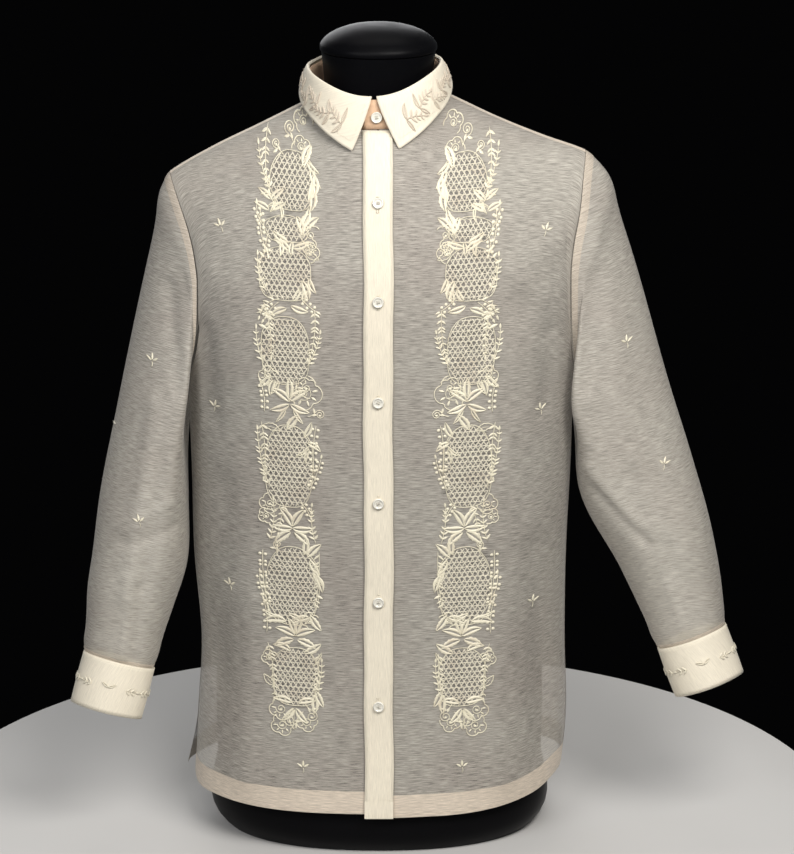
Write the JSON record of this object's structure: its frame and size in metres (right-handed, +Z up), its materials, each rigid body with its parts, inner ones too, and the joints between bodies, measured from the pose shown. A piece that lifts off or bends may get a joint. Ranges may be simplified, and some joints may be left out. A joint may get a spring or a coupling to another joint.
{
  "type": "barong tagalog shirt on dress form",
  "caption": "Sheer long-sleeved barong tagalog with an embroidered front, placket, collar and cuffs, worn by a limbless black dress form.",
  "frame": {"origin": "the middle of the dress form's flat base", "axes": "+Z up through the neck, -Y out of the front of the shirt, +X to the wearer's left"},
  "size_m": [0.7095, 0.276, 0.8631],
  "materials": {
    "sheer_cloth": "sheer pina and jusi weave with slubs",
    "cream_cloth": "opaque cream jusi with slubs",
    "stand_cloth": "matt",
    "pearl": "pearly",
    "form": "satin black"
  },
  "bodies": {
    "root": {"front_right": "sheer_cloth", "front_left": "sheer_cloth", "back": "sheer_cloth", "sleeve_right": "sheer_cloth", "sleeve_left": "sheer_cloth", "cuff_right": "cream_cloth", "cuff_left": "cream_cloth", "collar_fall": "cream_cloth", "placket": "cream_cloth", "collar_stand": "stand_cloth", "button_1": "pearl", "button_2": "pearl", "button_3": "pearl", "button_4": "pearl", "button_5": "pearl", "button_6": "pearl", "button_collar": "pearl", "button_cuff_right": "pearl", "button_cuff_left": "pearl", "form_torso": "form", "form_cap": "form"}
  },
  "joints": []
}
